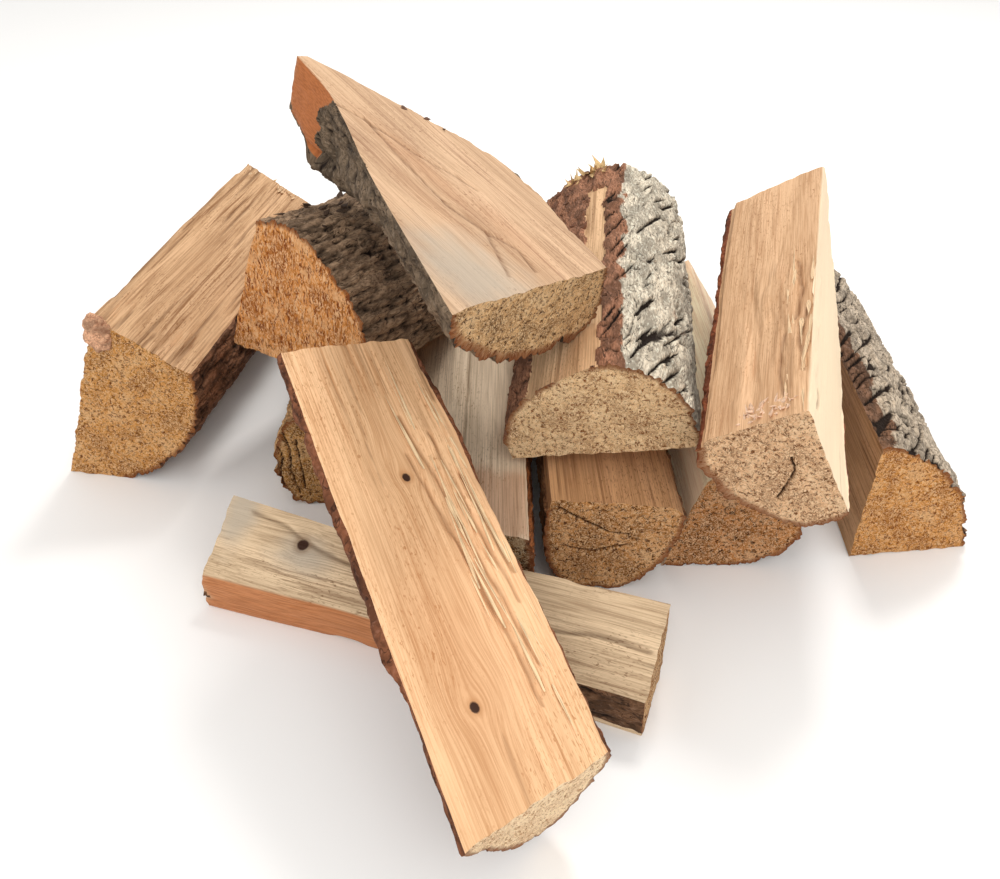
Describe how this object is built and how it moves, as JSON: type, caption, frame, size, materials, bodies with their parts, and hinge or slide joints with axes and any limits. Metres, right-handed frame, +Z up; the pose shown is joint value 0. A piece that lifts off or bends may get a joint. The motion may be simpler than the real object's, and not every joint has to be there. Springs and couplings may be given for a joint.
{
  "type": "firewood bundle",
  "caption": "Loose heap of split firewood: short sawn logs with flat split faces, rough bark and sawn ends, crossed on one another on level ground.",
  "frame": {"origin": "on the ground, under the middle of the heap's box", "axes": "+X to the right and +Y to the back of the heap seen from its front, where the sawn ends show, +Z up"},
  "size_m": [0.7682, 0.7386, 0.3187],
  "materials": {
    "split_wood": "freshly split, fibrous, matt, cream to orange tan",
    "weathered_wood": "older split wood, greyed, cracked, matt",
    "bark": "rough furrowed bark, brown to grey, matt",
    "sawn_end": "rough sawn end grain, ochre, matt"
  },
  "bodies": {
    "root": {"log_left_quarter": "split_wood", "log_upper_left": "bark", "log_top_wedge": "split_wood", "log_half_round": "bark", "log_front_plank": "split_wood", "log_front_cross": "weathered_wood", "log_right_leaning": "split_wood", "log_far_right": "bark", "log_right_low": "split_wood", "log_centre_low": "weathered_wood", "log_smooth_low": "weathered_wood", "log_left_low": "bark"}
  },
  "joints": []
}
